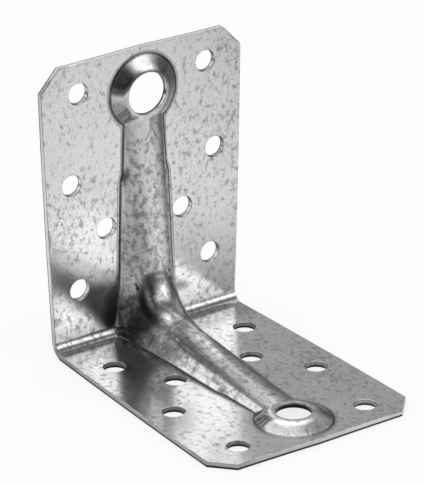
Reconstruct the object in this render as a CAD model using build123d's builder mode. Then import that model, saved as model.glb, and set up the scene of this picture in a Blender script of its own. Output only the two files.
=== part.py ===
from build123d import *
import math
import os

# A reinforced angle bracket of galvanised sheet steel: two leaves at a right angle, a
# pressed rib across the inner corner, a raised boss round the bolt hole at each end of
# the rib, and nail holes. It is one pressed piece of one thickness, hollow behind the
# rib and the bosses.
#
# Frame: +Z up, the base leaf lies on z = 0, the wall leaf stands at the +Y end, and
# the origin is below the middle of the whole bracket. A distance "along" a leaf is
# measured from the heel, the outer corner of the angle.

# Sheet and leaves
sheet = 1.5
wall_leg = 70.0
base_leg = 70.0
bend_radius = 2.5  # inside the corner, where it shows
bend_width = 49.2
end_width = 53.2
side_bow = 0.2  # each long edge swells this much at its middle
end_bow = 0.35  # each free end swells this much at its middle
corner_cut_across = 4.75
corner_cut_along = 5.15

# Nail holes, alike on both leaves: offset from the centre line, distance along
nail_hole = 5.0
nail_places = [(17.7, 15.2), (10.3, 28.5), (19.2, 41.1)]
end_nails_across = 16.9
end_nails_from_end = 7.4  # from the leaf's free end

# Bolt holes and the bosses round them
wall_bolt_hole = 10.0
base_bolt_hole = 8.0
bolt_from_end = 10.6  # from the leaf's free end
boss_foot = 17.8  # diameter where the cone leaves the leaf
boss_rise = 2.2  # from the leaf to the flat ring at the top
boss_ring = 11.2  # diameter where the flat ring would meet the cone
boss_shoulder = 3.2  # rounds the ring into the cone

# The rib: one section that follows two leaning runs joined by an arc
rib_crown = 9.0  # radius across the crest
rib_crown_width = 9.9  # where the crown would meet the flanks
rib_shoulder = 4.5  # rounds the crown into the flanks
rib_draft = 22.0  # each flank leans this much from upright, in degrees
rib_rise = 1.8  # crest above the leaf, at the bolt hole's axis
rib_lean = 4.8  # crest's slope away from the leaf, in degrees
rib_turn = 10.0  # crest's radius in the elbow
foot_radius = 0.8  # where rib and bosses meet the leaves

# Places that follow from these
wall_back = base_leg / 2  # outer face of the wall leaf
wall_front = wall_back - sheet
bend_reach = sheet + bend_radius  # the bend ends this far from the heel
backing = 12.0  # spare depth behind the skin, gone once it is thinned to the sheet
spare = 5.0  # spare length and width, trimmed off with the outline
least_crease = 3.0  # faces that meet at less than this, in degrees, run on smoothly
pressing_depth = 30.0  # more than the rib stands off either leaf
across_way = Vector(1, 0, 0)

# Each leaf: its outer face as a plane with y along from the heel, its leg, its bolt hole
wall_plane = Plane(origin=(0, wall_back, 0), x_dir=(1, 0, 0), z_dir=(0, -1, 0))
base_plane = Plane(origin=(0, wall_back, 0), x_dir=(-1, 0, 0), z_dir=(0, 0, 1))
leaves = (
    (wall_plane, wall_leg, wall_bolt_hole),
    (base_plane, base_leg, base_bolt_hole),
)

# Crest line, seen from the side: two leaning runs that meet at one point
lean = math.radians(rib_lean)
wall_start = Vector(wall_front - rib_rise, wall_leg - bolt_from_end)
base_start = Vector(wall_back - base_leg + bolt_from_end, sheet + rib_rise)
wall_way = Vector(-math.sin(lean), -math.cos(lean))
base_way = Vector(math.cos(lean), math.sin(lean))
across = base_start - wall_start
turn = wall_way.X * base_way.Y - wall_way.Y * base_way.X
wall_run = (across.X * base_way.Y - across.Y * base_way.X) / turn
crest_corner = wall_start + wall_way * wall_run


def shows(face):
    """Whether a face of the thick block is part of the skin that stays."""
    box = face.bounding_box()
    return box.max.Y < wall_back and box.min.Z > 0


def is_crease(edge, skin):
    """Whether two faces of the skin meet at this edge with a corner between them."""
    sides = [face for face in skin if any(edge.is_same(other) for other in face.edges())]
    if len(sides) != 2:
        return False
    middle = edge @ 0.5
    return sides[0].normal_at(middle).get_angle(sides[1].normal_at(middle)) > least_crease


def leaf_outline(leg):
    """One leaf drawn flat, x across and y along from the heel, with its cut corners and bows."""
    side_end = leg - end_bow - corner_cut_along
    side_middle = (bend_reach + side_end) / 2
    half_middle = (bend_width + end_width) / 4 + side_bow
    corner = end_width / 2 - corner_cut_across
    bow_radius = (corner**2 + end_bow**2) / (2 * end_bow)
    bend_corner = (bend_width / 2, bend_reach)
    side_corner = (end_width / 2, side_end)
    end_corner = (corner, leg - end_bow)
    with BuildSketch() as leaf:
        with BuildLine():
            Line((0, bend_reach), bend_corner)
            ThreePointArc(bend_corner, (half_middle, side_middle), side_corner)
            Line(side_corner, end_corner)
            RadiusArc(end_corner, (0, leg), bow_radius)
            mirror(about=Plane.YZ)
        make_face()
    return leaf.sketch


# A solid whose front is the face that shows, still thick behind
with BuildPart() as pressed_block:
    with BuildSketch(Plane.YZ) as side_view:
        with BuildLine():
            Polyline(
                (wall_front, wall_leg + spare),
                (wall_front, sheet),
                (wall_back - base_leg - spare, sheet),
                (wall_back - base_leg - spare, -backing),
                (wall_back + backing, -backing),
                (wall_back + backing, wall_leg + spare),
                close=True,
            )
        make_face()
        inner_corner = side_view.vertices().sort_by_distance((wall_front, sheet))[0]
        fillet(inner_corner, bend_radius)
    extrude(amount=end_width / 2 + spare, both=True)

    with BuildLine(Plane.YZ) as crest:
        FilletPolyline(
            (wall_start.X, wall_start.Y),
            (crest_corner.X, crest_corner.Y),
            (base_start.X, base_start.Y),
            radius=rib_turn,
        )
    crest_start = Plane(origin=crest.line @ 0, x_dir=(1, 0, 0), z_dir=crest.line % 0)
    with BuildSketch(crest_start) as rib_section:
        crown_x = rib_crown_width / 2
        crown_y = math.sqrt(rib_crown**2 - crown_x**2) - rib_crown
        foot_x = crown_x + (backing + crown_y) * math.tan(math.radians(rib_draft))
        with BuildLine():
            Line((-foot_x, -backing), (-crown_x, crown_y))
            ThreePointArc((-crown_x, crown_y), (0, 0), (crown_x, crown_y))
            Line((crown_x, crown_y), (foot_x, -backing))
            Line((foot_x, -backing), (-foot_x, -backing))
        make_face()
        fillet(rib_section.vertices().group_by(Axis.Y)[-1], rib_shoulder)
    sweep(path=crest.line)

    for leaf_plane, leg, _ in leaves:
        boss_centre = leaf_plane.from_local_coords((0, leg - bolt_from_end, sheet))
        half_section = Plane(boss_centre, across_way, across_way.cross(leaf_plane.z_dir))
        with BuildSketch(half_section) as boss_section:
            with BuildLine():
                Polyline(
                    (0, -sheet),
                    (boss_foot / 2, -sheet),
                    (boss_foot / 2, 0),
                    (boss_ring / 2, boss_rise),
                    (0, boss_rise),
                    close=True,
                )
            make_face()
            ring_edge = boss_section.vertices().sort_by_distance((boss_ring / 2, boss_rise))[0]
            fillet(ring_edge, boss_shoulder)
        revolve(axis=Axis(boss_centre, leaf_plane.z_dir))

    skin = pressed_block.faces().filter_by(shows)
    fillet([edge for edge in pressed_block.edges() if is_crease(edge, skin)], foot_radius)

# The blank's outline, as a solid to trim the pressing to
with BuildPart() as outline:
    for leaf_plane, leg, _ in leaves:
        with BuildSketch(leaf_plane):
            add(leaf_outline(leg))
        extrude(amount=pressing_depth)
    with BuildSketch(Plane.YZ):
        with Locations((wall_back, 0)):
            Rectangle(bend_reach, bend_reach, align=(Align.MAX, Align.MIN))
    extrude(amount=bend_width / 2, both=True)

with BuildPart() as angle_bracket:
    add(pressed_block.part)
    thick_faces = angle_bracket.faces().filter_by(lambda face: not shows(face))
    offset(amount=-sheet, openings=thick_faces, kind=Kind.INTERSECTION)
    add(outline.part, mode=Mode.INTERSECT)
    for leaf_plane, leg, bolt_hole in leaves:
        nail_rows = [*nail_places, (end_nails_across, leg - end_nails_from_end)]
        with BuildSketch(leaf_plane):
            with Locations((0, leg - bolt_from_end)):
                Circle(bolt_hole / 2)
            with Locations([(side * x, y) for x, y in nail_rows for side in (-1, 1)]):
                Circle(nail_hole / 2)
        extrude(amount=pressing_depth / 2, mode=Mode.SUBTRACT)

angle_bracket.part.label = "angle_bracket"
os.makedirs("parts", exist_ok=True)
export_step(angle_bracket.part, "parts/angle_bracket.step")
print("volume", round(angle_bracket.part.volume), "mm3", angle_bracket.part.bounding_box())
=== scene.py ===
import math

import bmesh
import bpy
import numpy as np
from mathutils import Matrix, Vector
from mathutils.bvhtree import BVHTree
from mathutils.interpolate import poly_3d_calc


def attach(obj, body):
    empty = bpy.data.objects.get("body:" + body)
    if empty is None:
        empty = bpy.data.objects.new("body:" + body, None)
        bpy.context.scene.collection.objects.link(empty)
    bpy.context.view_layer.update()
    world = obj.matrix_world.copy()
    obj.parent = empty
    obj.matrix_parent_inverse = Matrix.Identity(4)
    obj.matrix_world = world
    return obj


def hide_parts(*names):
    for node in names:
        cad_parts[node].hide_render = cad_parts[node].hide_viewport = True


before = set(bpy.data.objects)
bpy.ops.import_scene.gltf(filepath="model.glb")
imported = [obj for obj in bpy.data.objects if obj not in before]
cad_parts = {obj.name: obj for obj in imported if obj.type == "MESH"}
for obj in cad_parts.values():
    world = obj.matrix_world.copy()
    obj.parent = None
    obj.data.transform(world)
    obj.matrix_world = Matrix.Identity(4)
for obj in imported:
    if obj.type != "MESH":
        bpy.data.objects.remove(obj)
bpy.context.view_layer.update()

scene = bpy.context.scene

# An angle bracket of galvanised sheet steel, in a studio of soft white light. The bracket's own
# sizes are in millimetres, and the sizes of the studio and the camera's place are in metres.

# The camera, fitted to the eighteen holes and the outline in the photo
AZIMUTH, ELEVATION, ROLL = -34.21, 24.636, -0.523
EYE = Vector((-0.45315, -0.66013, 0.40198))
FOCAL_PX, IMAGE_HEIGHT = 4026.3, 484
SENSOR = 36
HALF_PIXEL = 0.5 / IMAGE_HEIGHT  # the fit counts pixels from their middles
NEAREST, FURTHEST = 0.01, 20

# The CAD form's sizes. "Along" a leaf is from the heel, and "above" a leaf is from its front
SHEET = 1.5
WALL_BACK = 35.0
WALL_FRONT = WALL_BACK - SHEET
BEND_RADIUS = 2.5  # inside the corner
BEND_REACH = SHEET + BEND_RADIUS
BOLT_ALONG = 59.4
BOSS_FOOT = 8.9  # radius
RIB_HALF = 5.08  # half the rib's width at its foot, beside the bolt hole
RIB_WIDENING = 0.0339  # of that half, for each millimetre towards the heel
RIB_LEAN = math.radians(4.8)
RIB_TURN = 10.0  # the crest's radius in the elbow
RIB_RISE = 1.8  # the crest above the leaf, at the bolt hole

# Forms that the scene adds to it
EASE = 0.2  # taken off each sheared edge
STEP_ALONG = 40.0  # the die step: below this the rib's foot stands further out
STEP_OUT = 0.55
STEP_BLEND = 1.5  # the step runs out over this length to each side
STEP_SPREAD = 0.85  # across the foot
STEP_LOW, STEP_HIGH = 0.9, 2.6  # above the leaf, where the step is whole and where it is gone
STEP_NONE, STEP_WHOLE = 2.0, 6.0  # along the leaf, next to the bend
ELBOW_SOFT = 4.5  # how far the elbow's arc runs into the straight runs
ELBOW_HALF, ELBOW_REACH = 9.0, 30.0  # the part that is shaped, across and from the corner
ELBOW_LOW, ELBOW_HIGH = 0.1, 2.6  # above the leaf, where the shaping starts and where it is whole
SHOULDER_OFF = 0.25  # how much the elbow's shoulders are rounded off
SHOULDER, SHOULDER_SPREAD = 5.3, 1.8  # across
SHOULDER_WHOLE, SHOULDER_GONE = 6.0, 15.0  # along the crest from its middle

# How the mesh is made and measured
WELD, SLIVER, ON_PLANE = 2e-6, 1e-6, 1e-7  # metres
SHARP = math.radians(50)
SKIN, SHEARED, EASED, BORE = range(4)
NEAR_RIB = 11.0  # the mesh is cut finely this far to each side of the middle
ACROSS_CUTS = np.arange(-11.0, 11.1, 1.1)
WALL_CUTS, WALL_FROM = np.arange(4.2, 69.9, 1.2), 22  # heights, and the y behind which they cut
BASE_CUTS, BASE_UP_TO = np.arange(-34.2, 31, 1.2), 14  # along y, and the height below which they cut
FACING, FACING_LEAST = np.array((0, -1, 1)), 0.02  # both leaves show their fronts this way
FLAT_WITHIN, FLAT_FACING = 0.004, 0.9  # of a leaf's level, and of its normal
CREST_SPACING, CREST_HALF = 0.25, 36
BELL_HALF = 15  # over three times ELBOW_SOFT
FOOT_FROM, FOOT_SPACING, TURN_SPACING = 3.4, 0.15, 0.02  # the turn's in radians
BEND_FOOT_IN, BEND_POINTS = 0.3, 24  # the foot stands this much further in round the bend
FOOT_EDGE = 0.12  # above a leaf by this much counts as pressed
FIELD_REACH = 3
BLOCK = 4000  # places measured at a time


def direction(az, el):
    """Unit vector towards an azimuth and elevation in degrees, from the front towards +X."""
    az, el = math.radians(az), math.radians(el)
    return Vector((math.sin(az) * math.cos(el), -math.cos(az) * math.cos(el), math.sin(el)))


def photo_camera():
    """The camera that took the photo."""
    back = direction(AZIMUTH, ELEVATION)
    roll = math.radians(ROLL)
    right = Vector((0, 0, 1)).cross(back).normalized()
    up = back.cross(right)
    rolled_right = math.cos(roll) * right + math.sin(roll) * up
    rolled_up = -math.sin(roll) * right + math.cos(roll) * up
    turned = Matrix((rolled_right, rolled_up, back)).transposed().to_4x4()
    camera = bpy.data.objects.new("camera", bpy.data.cameras.new("camera"))
    scene.collection.objects.link(camera)
    camera.matrix_world = Matrix.Translation(EYE) @ turned
    camera.data.sensor_width = SENSOR
    camera.data.lens = FOCAL_PX / IMAGE_HEIGHT * SENSOR
    camera.data.shift_x = -HALF_PIXEL
    camera.data.shift_y = HALF_PIXEL
    camera.data.clip_start = NEAREST
    camera.data.clip_end = FURTHEST
    return camera


class Nodes:
    """Short ways to add the nodes of one node tree."""

    def __init__(self, tree):
        self.tree = tree

    def add(self, kind, settings=(), **inputs):
        """A new node. Its inputs go by their names, or by i0, i1 and so on in their order."""
        node = self.tree.nodes.new(kind)
        for name, value in dict(settings).items():
            setattr(node, name, value)
        for name, value in inputs.items():
            by_order = name[0] == "i" and name[1:].isdigit()
            self.plug(node.inputs[int(name[1:]) if by_order else name.replace("_", " ")], value)
        return node

    def plug(self, socket, value):
        if isinstance(value, bpy.types.NodeSocket):
            self.tree.links.new(value, socket)
        else:
            socket.default_value = value

    def math(self, operation, a, b=0.0, c=0.0, clamp=False):
        settings = dict(operation=operation, use_clamp=clamp)
        return self.add("ShaderNodeMath", settings, i0=a, i1=b, i2=c).outputs[0]

    def chain(self, operation, first, *others):
        for other in others:
            first = self.math(operation, first, other)
        return first

    def sum(self, *terms):
        return self.chain("ADD", *terms)

    def times(self, *terms):
        return self.chain("MULTIPLY", *terms)

    def largest(self, *terms):
        return self.chain("MAXIMUM", *terms)

    def plus(self, base, share, value):
        """The base plus a share of the value."""
        return self.math("MULTIPLY_ADD", value, share, base)

    def vector(self, operation, a, b=(0.0, 0.0, 0.0)):
        node = self.add("ShaderNodeVectorMath", dict(operation=operation), i0=a, i1=b)
        gives_number = operation in ("DOT_PRODUCT", "LENGTH", "DISTANCE")
        return node.outputs["Value" if gives_number else "Vector"]

    def scaled(self, where, x, y, z):
        return self.vector("MULTIPLY", where, (x, y, z))

    def ramp(self, value, low, high, to_low=0.0, to_high=1.0):
        """Smooth step from to_low at low to to_high at high."""
        node = self.add("ShaderNodeMapRange", dict(interpolation_type="SMOOTHSTEP"), Value=value)
        numbers = {"From Min": low, "From Max": high, "To Min": to_low, "To Max": to_high}
        for name, number in numbers.items():
            node.inputs[name].default_value = number
        return node.outputs[0]

    def line(self, value, half):
        """One where the value is zero, fading out at half a width to each side."""
        return self.ramp(self.math("ABSOLUTE", value), half, half * 0.3)

    def stroke(self, where, start, end, half):
        """One on a straight mark between two places, fading out at half a width."""
        start, end = Vector(start), Vector(end)
        way = end - start
        from_start = self.vector("SUBTRACT", where, start)
        projected = self.vector("DOT_PRODUCT", from_start, way)
        share = self.math("MULTIPLY", projected, 1 / way.length_squared, clamp=True)
        on_mark = self.add("ShaderNodeVectorMath", dict(operation="SCALE"), i0=way, Scale=share)
        beside = self.vector("SUBTRACT", from_start, on_mark.outputs[0])
        return self.ramp(self.vector("LENGTH", beside), half, half * 0.4)

    def noise(self, where, scale, detail=2.0, rough=0.5, distort=0.0):
        node = self.add(
            "ShaderNodeTexNoise",
            Vector=where, Scale=scale, Detail=detail, Roughness=rough, Distortion=distort,
        )
        return node.outputs["Fac"]

    def attribute(self, name):
        return self.add("ShaderNodeAttribute", dict(attribute_name=name)).outputs["Fac"]

    def seen(self):
        """One for camera, glossy and transmission rays, and none for those that carry light."""
        path = self.add("ShaderNodeLightPath").outputs
        return self.largest(
            path["Is Camera Ray"], path["Is Glossy Ray"], path["Is Transmission Ray"]
        )


def new_material(name):
    material = bpy.data.materials.new(name)
    material.use_nodes = True
    material.node_tree.nodes.clear()
    return material, Nodes(material.node_tree)


def smooth(value, low, high):
    """Smooth step from zero at low to one at high."""
    t = np.clip((value - low) / (high - low), 0, 1)
    return t * t * (3 - 2 * t)


def foot_half(along):
    """Half the rib's width where it meets the leaf."""
    return RIB_HALF + RIB_WIDENING * (BOLT_ALONG - along)


def step_out(along):
    """How much further out the rib's foot stands because of the die step."""
    return STEP_OUT * smooth(along, STEP_ALONG + STEP_BLEND, STEP_ALONG - STEP_BLEND)


def eased_form(cad):
    """The CAD form welded, with its sheared edges eased."""
    form = bmesh.new()
    form.from_mesh(cad.data)
    bmesh.ops.remove_doubles(form, verts=form.verts, dist=WELD)
    bmesh.ops.dissolve_degenerate(form, dist=WELD, edges=form.edges)
    for face in form.faces:
        face.material_index = SKIN
    inside = [edge for edge in form.edges if len(edge.link_faces) == 2]
    sharp = [edge for edge in inside if edge.calc_face_angle(0) > SHARP]
    bmesh.ops.bevel(
        form, geom=sharp, offset=EASE / 1000, offset_type="OFFSET", segments=1, profile=0.5,
        affect="EDGES", clamp_overlap=True, material=EASED,
    )
    return form


def region_of(first, seen):
    """The faces that can be reached from the first one without crossing an eased edge."""
    region, stack = [], [first]
    seen.add(first)
    while stack:
        face = stack.pop()
        region.append(face)
        for edge in face.edges:
            for other in edge.link_faces:
                if other not in seen and other.material_index != EASED:
                    seen.add(other)
                    stack.append(other)
    return region


def mark_sheared_faces(form):
    """Tell the sheared outer edge and the bores of the holes from the two skins, by their areas."""
    regions, seen = [], set()
    for face in form.faces:
        if face not in seen and face.material_index != EASED:
            regions.append(region_of(face, seen))
    regions.sort(key=lambda region: -sum(face.calc_area() for face in region))
    _, _, outer_edge, *bores = regions
    for face in outer_edge:
        face.material_index = SHEARED
    for bore in bores:
        for face in bore:
            face.material_index = BORE


def cut(form, axis, places, picks):
    """Cut the faces whose middles it picks, with planes across one axis at these places."""
    normal = Vector((axis == 0, axis == 1, axis == 2))
    for place in places:
        faces = [face for face in form.faces if picks(face.calc_center_median() * 1000)]
        edges = {edge for face in faces for edge in face.edges}
        verts = {vert for face in faces for vert in face.verts}
        bmesh.ops.bisect_plane(
            form, geom=[*verts, *edges, *faces], dist=ON_PLANE,
            plane_co=normal * place / 1000, plane_no=normal,
        )


def bracket_mesh(cad):
    """The eased form as triangles, cut finely along the rib so that it can be shaped there."""
    form = eased_form(cad)
    mark_sheared_faces(form)
    cut(form, 0, ACROSS_CUTS, lambda middle: abs(middle.x) < NEAR_RIB + 1)
    cut(form, 2, WALL_CUTS, lambda middle: abs(middle.x) < NEAR_RIB and middle.y > WALL_FROM)
    cut(form, 1, BASE_CUTS, lambda middle: abs(middle.x) < NEAR_RIB and middle.z < BASE_UP_TO)
    bmesh.ops.triangulate(form, faces=[face for face in form.faces if len(face.verts) > 4])
    bmesh.ops.dissolve_degenerate(form, dist=SLIVER, edges=form.edges)
    bmesh.ops.triangulate(form, faces=form.faces)
    mesh = bpy.data.meshes.new("bracket_sheet")
    form.to_mesh(mesh)
    form.free()
    return mesh


def vectors(collection, field):
    """One vector for each item, as rows of an array."""
    values = np.empty(len(collection) * 3)
    collection.foreach_get(field, values)
    return values.reshape(-1, 3)


def put(mesh, places):
    """Move the vertices to these places in millimetres."""
    mesh.vertices.foreach_set("co", (places / 1000).ravel())
    mesh.update()


def surface_normals(mesh, cad):
    """Smooth normals of the CAD surface at each vertex of the mesh."""
    surface = cad.data
    surface.calc_loop_triangles()
    places = [vertex.co.copy() for vertex in surface.vertices]
    corners = [Vector(corner.vector) for corner in surface.corner_normals]
    triangles = [tuple(triangle.vertices) for triangle in surface.loop_triangles]
    loops = [tuple(triangle.loops) for triangle in surface.loop_triangles]
    tree = BVHTree.FromPolygons(places, triangles)
    normals = np.empty((len(mesh.vertices), 3))
    for i, vertex in enumerate(mesh.vertices):
        nearest, _, index, _ = tree.find_nearest(vertex.co)
        weights = poly_3d_calc([places[k] for k in triangles[index]], nearest)
        mixed = sum((corners[k] * weight for k, weight in zip(loops[index], weights)), Vector())
        normals[i] = mixed.normalized()
    return normals


def with_die_step(points):
    """The points with the rib's foot moved out below the die step, on both leaves."""
    shaped = points.copy()
    x, y, z = points.T
    for along, above in ((z, WALL_FRONT - y), (WALL_BACK - y, z - SHEET)):
        near_foot = np.exp(-(((np.abs(x) - foot_half(along)) / STEP_SPREAD) ** 2))
        near_foot *= smooth(above, STEP_HIGH, STEP_LOW)
        near_foot *= smooth(along, STEP_NONE, STEP_WHOLE)
        shaped[:, 0] += np.sign(x) * step_out(along) * near_foot
    return shaped


def crest_line():
    """Where the crest's runs would meet, its points (y, z) and their distances from its middle."""
    top = np.array((WALL_FRONT - RIB_RISE, BOLT_ALONG))
    low = np.array((WALL_BACK - BOLT_ALONG, SHEET + RIB_RISE))
    down = np.array((-math.sin(RIB_LEAN), -math.cos(RIB_LEAN)))
    outward = np.array((-math.cos(RIB_LEAN), -math.sin(RIB_LEAN)))
    square_to_down = np.array((down[1], -down[0]))
    corner = top + down * np.linalg.solve(np.array((down, -outward)).T, low - top)[0]
    bend = math.pi / 2 - 2 * RIB_LEAN
    half_arc = RIB_TURN * bend / 2
    distances = np.arange(-CREST_HALF, CREST_HALF, CREST_SPACING)
    heading = np.interp(distances, (-half_arc, half_arc), (0, bend))
    steps = np.outer(np.cos(heading), down) + np.outer(np.sin(heading), square_to_down)
    crest = np.cumsum(steps, 0) * CREST_SPACING
    arc_start = corner - down * (RIB_TURN * math.tan(bend / 2))
    crest += arc_start - crest[np.searchsorted(distances, -half_arc)]
    return corner, crest, distances


def smoothing_moves(crest):
    """How far each point of the crest moves where the ends of its arc are smoothed."""
    offsets = np.arange(-BELL_HALF, BELL_HALF + 0.1, CREST_SPACING)
    bell = np.exp(-0.5 * (offsets / ELBOW_SOFT) ** 2)
    bell /= bell.sum()
    pad = len(bell) // 2
    smoothed = np.array([np.convolve(crest[:, k], bell, "valid") for k in (0, 1)]).T
    moves = np.zeros_like(crest)
    moves[pad : pad + len(smoothed)] = smoothed - crest[pad : pad + len(smoothed)]
    return moves


def with_soft_elbow(shaped, normals, front):
    """The points with the elbow smoothed along the crest and its shoulders rounded off."""
    shaped = shaped.copy()
    corner, crest, distances = crest_line()
    from_corner = np.hypot(shaped[:, 1] - corner[0], shaped[:, 2] - corner[1])
    inner = np.flatnonzero((np.abs(shaped[:, 0]) < ELBOW_HALF) & (from_corner < ELBOW_REACH))
    x, y, z = shaped[inner].T
    nearest = np.argmin(((shaped[inner, None, 1:] - crest[None]) ** 2).sum(2), 1)
    leaf_skin = np.where(front[inner], 0, -SHEET)
    above_skin = np.minimum(WALL_FRONT - y, z - SHEET) - leaf_skin
    share = smooth(above_skin, ELBOW_LOW, ELBOW_HIGH)
    shaped[inner, 1:] += smoothing_moves(crest)[nearest] * share[:, None]
    off = np.exp(-(((np.abs(x) - SHOULDER) / SHOULDER_SPREAD) ** 2)) * share
    off *= smooth(np.abs(distances[nearest]), SHOULDER_GONE, SHOULDER_WHOLE) * SHOULDER_OFF
    shaped[inner] -= normals[inner] * (off * np.where(front[inner], 1, -1))[:, None]
    return shaped


def final_normals(points, normals, change):
    """The CAD's normals with what the shaping changed, and exactly square on the leaves."""
    result = normals + change
    leaf_faces = ((1, WALL_FRONT, -1), (1, WALL_BACK, 1), (2, SHEET, 1), (2, 0.0, -1))
    for axis, level, way in leaf_faces:
        level_with = np.abs(points[:, axis] - level) < FLAT_WITHIN
        flat = level_with & (normals[:, axis] * way > FLAT_FACING)
        result[flat] = np.eye(3)[axis] * way
    return result / np.linalg.norm(result, axis=1)[:, None]


def foot_line():
    """Points on the foot of the rib and the bosses, on the right of both leaves and the bend."""
    along = np.arange(FOOT_FROM, BOLT_ALONG - 3, FOOT_SPACING)
    half = foot_half(along) + step_out(along)
    in_boss = np.hypot(half, along - BOLT_ALONG) < BOSS_FOOT
    along, half = along[~in_boss], half[~in_boss]
    turns = np.arange(math.asin(half[-1] / BOSS_FOOT), math.pi, TURN_SPACING)
    half = np.r_[half, BOSS_FOOT * np.sin(turns)]
    along = np.r_[along, BOLT_ALONG - BOSS_FOOT * np.cos(turns)]
    on_wall = np.c_[half, np.full_like(along, WALL_FRONT), along]
    on_base = np.c_[half, WALL_BACK - along, np.full_like(along, SHEET)]
    arc = np.linspace(0, math.pi / 2, BEND_POINTS)
    arc_half = np.full_like(arc, foot_half(BEND_REACH) + STEP_OUT - BEND_FOOT_IN)
    arc_y = WALL_BACK - BEND_REACH + BEND_RADIUS * np.cos(arc)
    arc_z = BEND_REACH - BEND_RADIUS * np.sin(arc)
    return np.concatenate((on_wall, on_base, np.c_[arc_half, arc_y, arc_z]))


def distances_from(line, places):
    """Distance of each place from the line's nearest point, in blocks that fit in memory."""
    squares = np.empty(len(places))
    for start in range(0, len(places), BLOCK):
        part = places[start : start + BLOCK]
        squares[start : start + BLOCK] = ((part[:, None] - line[None]) ** 2).sum(2).min(1)
    return np.sqrt(squares)


def finish_fields(shaped, front):
    """What the finish needs to know of each vertex.

    Outside is the distance from the foot of the rib and bosses: above zero on the flat of a leaf,
    below zero on what is pressed. Along is the distance from the heel. Front is one on the side
    that shows.
    """
    x, y, z = shaped.T
    above_wall, above_base = WALL_FRONT - y, z - SHEET
    along = np.where(above_wall < above_base, z, WALL_BACK - y)
    distance = distances_from(foot_line(), np.c_[np.abs(x), y, z])
    in_bend = (y > WALL_BACK - BEND_REACH) & (z < BEND_REACH)
    above_bend = BEND_RADIUS - np.hypot(y - WALL_BACK + BEND_REACH, z - BEND_REACH)
    above = np.where(in_bend, above_bend, np.minimum(above_wall, above_base))
    above_skin = np.where(front, above, above + SHEET)
    outside = np.minimum(distance, FIELD_REACH) * np.clip(1 - above_skin / FOOT_EDGE, -1, 1)
    return {"outside": outside, "along": along, "front": front}


def bracket_sheet(cad):
    """The bracket as one piece that takes the place of its CAD node."""
    mesh = bracket_mesh(cad)
    points = vectors(mesh.vertices, "co") * 1000
    normals = surface_normals(mesh, cad)
    front = normals @ FACING > FACING_LEAST
    before = vectors(mesh.vertex_normals, "vector")
    shaped = with_soft_elbow(with_die_step(points), normals, front)
    put(mesh, shaped)
    change = vectors(mesh.vertex_normals, "vector") - before
    shown_normals = final_normals(points, normals, change)
    mesh.polygons.foreach_set("use_smooth", [True] * len(mesh.polygons))
    mesh.normals_split_custom_set_from_vertices(shown_normals.tolist())

    for name, values in finish_fields(shaped, front).items():
        layer = mesh.attributes.new(name, "FLOAT", "POINT")
        layer.data.foreach_set("value", values.astype(np.float32))
    kinds = np.empty(len(mesh.polygons), int)
    mesh.polygons.foreach_get("material_index", kinds)
    for name, kind in (("sheared", SHEARED), ("eased", EASED), ("bore", BORE)):
        layer = mesh.attributes.new(name, "FLOAT", "FACE")
        layer.data.foreach_set("value", (kinds == kind).astype(np.float32))
    mesh.polygons.foreach_set("material_index", [0] * len(mesh.polygons))

    sheet = bpy.data.objects.new("bracket_sheet", mesh)
    scene.collection.objects.link(sheet)
    return sheet


# Dark strokes on the surface: start, end and half the width
MARKS = (
    ((0.35, 31.2, 53.3), (0.6, 31.1, 51.2), 0.45),  # painted shade of a small pressed crease below the wall's bolt hole
    ((0.5, 31.1, 51.9), (0.55, 31.1, 51.0), 0.75),
    ((0.5, 31.1, 51.0), (-1.1, 30.9, 48.7), 0.34),
    ((0.8, 31.1, 51.0), (1.8, 31.0, 48.8), 0.34),
    ((-0.7, -15.6, 4.0), (0.9, -16.2, 4.0), 0.42),  # on the base's rib
    ((22.6, 33.5, 61.1), (25.3, 33.5, 61.1), 0.16),  # a scratch at the top right
)
ELBOW_CORNER_SHADE = ((-7.0, 32.6, 4.6), (-7.3, 30.4, 2.4), 1.3)  # painted shade in the corner beside the elbow's foot
ELBOW_SHADE_PLACE, ELBOW_SHADE_NONE, ELBOW_SHADE_WHOLE = (-6.2, 28.6, 7.5), 8.2, 3.5  # painted shade and reflection on the elbow's left flank
FOOT_SHADE_REACH, FOOT_SHADE_REACH_BELOW_STEP = 0.6, 0.2  # how far the painted shade reaches outside the foot, and how much more below the step
BUMP_DEPTH = 0.000014  # metres


def zinc_flecks(n, mm, drawn, pressed, boss):
    """Dark smudges and small specks that crowd together in places."""
    crowd = n.noise(mm, 0.07, 2, 0.5)
    smudge_field = n.plus(n.noise(drawn, 0.85, 5, 0.62, 0.15), 0.22, crowd)
    smudge_field = n.plus(smudge_field, 0.05, n.times(pressed, n.ramp(boss, 1, 0)))
    speck_field = n.plus(n.noise(mm, 2.3, 3, 0.6, 0.1), 0.2, crowd)
    return n.ramp(smudge_field, 0.59, 0.82), n.ramp(speck_field, 0.66, 0.80)


def foot_shade(n, outside, along, front):
    """Painted shade: a band outside the foot of the rib and the bosses, and the dark lines that edge
    it.
    """
    below_step = n.ramp(along, STEP_ALONG + 1, STEP_ALONG - 1)
    shade_reach = n.plus(FOOT_SHADE_REACH, FOOT_SHADE_REACH_BELOW_STEP, below_step)
    past_line = n.math("SUBTRACT", outside, shade_reach)
    band = n.times(n.ramp(outside, -0.6, -0.3), n.ramp(past_line, 0.1, -0.1))
    lines = n.largest(n.line(outside, 0.42), n.times(n.line(past_line, 0.15), 0.6))
    at_foot = n.times(front, n.ramp(along, 49, 53, 1.0, 0.8))
    return n.times(band, at_foot), n.times(lines, at_foot)


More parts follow.
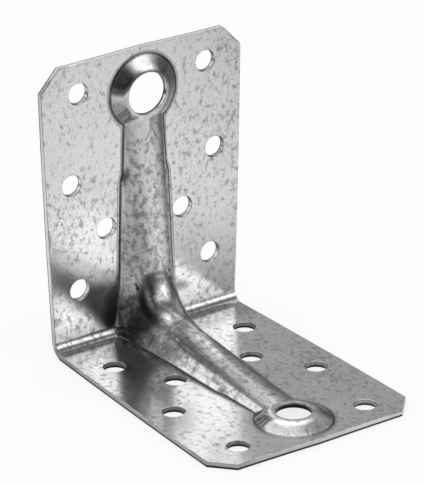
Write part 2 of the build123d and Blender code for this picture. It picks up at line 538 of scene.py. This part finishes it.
def rear_shade_mask(n, y, z, bore, cut_faces):
    """Painted shade on the part of each cut face next to the back, and in the bolt holes' bores
    behind their rings.
    """
    next_to_back = n.largest(n.ramp(y, 34.5, 34.7), n.ramp(z, 0.7, 0.45))
    in_base_bolt = n.times(bore, n.ramp(z, 3.4, 3.0), n.ramp(z, 1.6, 2.1))
    in_wall_bolt = n.times(bore, n.ramp(y, 31.9, 32.3), n.ramp(y, 33.3, 33.0))
    return n.largest(n.times(next_to_back, cut_faces), in_base_bolt, in_wall_bolt)


def galvanised_steel():
    """Zinc on steel: light grey and shiny, with flecks and the marks of the press and shears, and
    painted shade along the rib's foot, in a crease, at the elbow, in the holes, next to the bend and
    at the back of the cut faces.
    """
    steel, n = new_material("galvanised_steel")
    mm = n.scaled(n.add("ShaderNodeTexCoord").outputs["Object"], 1000, 1000, 1000)
    drawn = n.scaled(mm, 1.0, 0.7, 0.7)
    _, y, z = n.add("ShaderNodeSeparateXYZ", i0=mm).outputs
    outside, along, front = n.attribute("outside"), n.attribute("along"), n.attribute("front")
    sheared, eased, bore = n.attribute("sheared"), n.attribute("eased"), n.attribute("bore")
    clean = n.math("SUBTRACT", 1.0, sheared)

    pressed = n.times(n.ramp(outside, -0.4, -1.2), front)
    boss = n.ramp(along, 48, 53)
    clouds = n.noise(mm, 0.22, 4, 0.55)
    grain = n.noise(drawn, 1.4, 5, 0.72)
    smudges, specks = zinc_flecks(n, mm, drawn, pressed, boss)
    # Painted shade along the foot of the rib and the bosses
    foot_shade_band, foot_shade_lines = foot_shade(n, outside, along, front)
    marks = n.largest(*(n.stroke(mm, *mark) for mark in MARKS))
    # Painted shade in the corner beside the elbow's foot
    corner_shade = n.times(n.stroke(mm, *ELBOW_CORNER_SHADE), front)
    # Painted shade and reflection on the elbow's left flank
    elbow_shade = n.ramp(n.vector("DISTANCE", mm, ELBOW_SHADE_PLACE), ELBOW_SHADE_NONE, ELBOW_SHADE_WHOLE)
    # Painted shade in the bores of the holes low down, on the base
    base_bore_shade = n.times(bore, n.ramp(z, 7, 5))
    # Painted shade at the back of the cut faces and in the bolt holes' bores
    rear_shade = rear_shade_mask(n, y, z, bore, n.sum(sheared, bore, eased))
    bend_shade = n.times(n.ramp(y, 22, 27), n.ramp(z, 3, 2))  # painted shade on the base next to the bend

    tone = n.plus(n.plus(0.66, 0.10, clouds), 0.28, grain)
    tone = n.math("MINIMUM", n.plus(tone, 0.2, sheared), 0.98)
    for dark, depth in (
        (n.times(smudges, clean), 0.5),
        (n.times(specks, clean), 0.45),
        (foot_shade_band, 0.25),
        (foot_shade_lines, 0.75),
        (marks, 0.45),
        (eased, 0.1),
        (bore, 0.2),
        (base_bore_shade, 0.4),
        (elbow_shade, 0.72),
        (corner_shade, 0.7),
        (rear_shade, 0.93),
        (bend_shade, 0.3),
    ):
        tone = n.times(tone, n.plus(1.0, -depth, dark))
    colour = n.add("ShaderNodeCombineColor", i0=tone, i1=tone, i2=tone).outputs[0]

    roughness = 0.13
    for rough, share in (
        (clouds, 0.08),
        (smudges, 0.10),
        (sheared, 0.42),
        (n.sum(bore, foot_shade_band), 0.10),
        (n.times(pressed, boss), -0.05),
    ):
        roughness = n.plus(roughness, share, rough)

    height = n.plus(n.noise(mm, 0.28, 2, 0.5), 0.08, grain)
    height = n.plus(height, -0.12, smudges)
    bump = n.add("ShaderNodeBump", Strength=1.0, Distance=BUMP_DEPTH, Height=height)
    shader = n.add(
        "ShaderNodeBsdfPrincipled",
        Base_Color=colour, Metallic=1.0, Roughness=roughness, Normal=bump.outputs[0],
    )
    n.add("ShaderNodeOutputMaterial", Surface=shader.outputs[0])
    return steel


# The studio. The floor and its cards lie just below the bracket, clear of its faces
WHITE = (1, 1, 1, 1)
FLOOR_GREY = (0.8, 0.8, 0.8, 1)
FLOOR_HALF, FLOOR_Z = 4.0, -0.00005
FLOOR_GLOW = 0.96  # how white it is to the camera and to what mirrors it
SHADOW, SHADOW_REACH = 0.14, 0.03
CARDS_HALF, CARDS_Z = 1.9, -0.00004
CARD_BASE = 0.10
TENT_RADIUS = 2.0
TENT_BASE = 0.02

# Bright spots of the floor cards: azimuth in degrees, distance and spread in metres, brightness
CARD_SPOTS = {
    "right": (47, 0.089, 0.055, 0.4),
    "right, next to the bracket": (63, 0.045, 0.035, 0.36),
    "right, far": (35, 0.19, 0.07, 0.45),
    "front": (-8, 0.165, 0.055, 0.45),
    "front left": (-48, 0.14, 0.05, 0.38),
    "left": (-100, 0.12, 0.045, 0.45),
    "back left": (-146, 0.09, 0.025, 0.7),
    "back left, far": (-146, 0.155, 0.04, 1.0),
}

# Lights of the tent: azimuth, elevation and spread in degrees, brightness
TENT_LIGHTS = {
    "key": (35, 26, 12, 1.65),
    "overhead": (156, 70, 18, 1.95),
    "back left, low": (-139, 2, 13, 1.15),
    "back right, low": (156, 20, 18, 0.31),
    "back left, raised": (-145, 30, 14, 0.95),
    "right": (96, 27, 14, 0.32),
    "above the camera": (-25, 62, 14, 0.15),
    "front right, raised": (12, 42, 8, 0.9),
    "front left": (-52, 31, 11, 0.6),
}


def card(name, half, z):
    """A square of the studio's floor."""
    mesh = bpy.data.meshes.new(name)
    corners = [(-half, -half, 0), (half, -half, 0), (half, half, 0), (-half, half, 0)]
    mesh.from_pydata(corners, [], [(0, 1, 2, 3)])
    thing = bpy.data.objects.new(name, mesh)
    thing.location.z = z
    scene.collection.objects.link(thing)
    return thing


def floor_paint():
    """White to the camera and to what mirrors it, with a soft shadow where it is shut in."""
    paint, n = new_material("floor_paint")
    diffuse = n.add("ShaderNodeBsdfDiffuse", Color=FLOOR_GREY)
    openness = n.add("ShaderNodeAmbientOcclusion", dict(samples=8), Distance=SHADOW_REACH)
    strength = n.plus(1 - SHADOW, SHADOW, openness.outputs["AO"])
    glow = n.add("ShaderNodeEmission", Color=WHITE, Strength=strength)
    share = n.times(n.seen(), FLOOR_GLOW)
    mix = n.add("ShaderNodeMixShader", i0=share, i1=diffuse.outputs[0], i2=glow.outputs[0])
    n.add("ShaderNodeOutputMaterial", Surface=mix.outputs[0])
    return paint


def light_paint(name, level_of):
    """Pure light whose level a function works out from the place."""
    paint, n = new_material(name)
    level = level_of(n, n.add("ShaderNodeNewGeometry").outputs["Position"])
    glow = n.add("ShaderNodeEmission", Color=WHITE, Strength=level)
    n.add("ShaderNodeOutputMaterial", Surface=glow.outputs[0])
    return paint


def card_level(n, place):
    """Light of the floor cards: a base level and soft round spots."""
    level = CARD_BASE
    for az, reach, spread, bright in CARD_SPOTS.values():
        far = n.vector("DISTANCE", place, direction(az, 0) * reach)
        bell = n.math("EXPONENT", n.times(n.times(far, far), -0.5 / spread**2))
        level = n.plus(level, bright, bell)
    return level


def tent_level(n, place):
    """Light of the tent: a base level and soft round lights."""
    level = TENT_BASE
    way = n.vector("NORMALIZE", place)
    for az, el, spread, bright in TENT_LIGHTS.values():
        near = n.vector("DOT_PRODUCT", way, direction(az, el))
        tight = 1 / math.radians(spread) ** 2
        bell = n.math("EXPONENT", n.plus(-tight, tight, near))
        level = n.plus(level, bright, bell)
    return level


def light_tent():
    """A dome of soft white light round the bracket, unseen by the camera."""
    tent = bpy.data.objects.new("tent", bpy.data.meshes.new("tent"))
    dome = bmesh.new()
    bmesh.ops.create_icosphere(dome, subdivisions=4, radius=TENT_RADIUS)
    dome.to_mesh(tent.data)
    dome.free()
    scene.collection.objects.link(tent)
    tent.visible_camera = tent.visible_shadow = False
    return tent


def backdrop():
    """White to the camera and to what mirrors it, no light of its own."""
    world = bpy.data.worlds.new("studio")
    world.use_nodes = True
    world.node_tree.nodes.clear()
    n = Nodes(world.node_tree)
    background = n.add("ShaderNodeBackground", Color=WHITE, Strength=n.seen())
    n.add("ShaderNodeOutputWorld", Surface=background.outputs[0])
    return world


scene.camera = photo_camera()

# The bracket
sheet = bracket_sheet(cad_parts["angle_bracket"])
sheet.data.materials.append(galvanised_steel())
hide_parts("angle_bracket")
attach(sheet, "root")

# The studio
floor = card("floor", FLOOR_HALF, FLOOR_Z)
floor.data.materials.append(floor_paint())
cards = card("floor_cards", CARDS_HALF, CARDS_Z)
cards.data.materials.append(light_paint("card_paint", card_level))
cards.visible_camera = cards.visible_diffuse = False
cards.visible_shadow = cards.visible_transmission = False
tent = light_tent()
tent.data.materials.append(light_paint("tent_paint", tent_level))
scene.world = backdrop()

scene.view_settings.view_transform = "Standard"
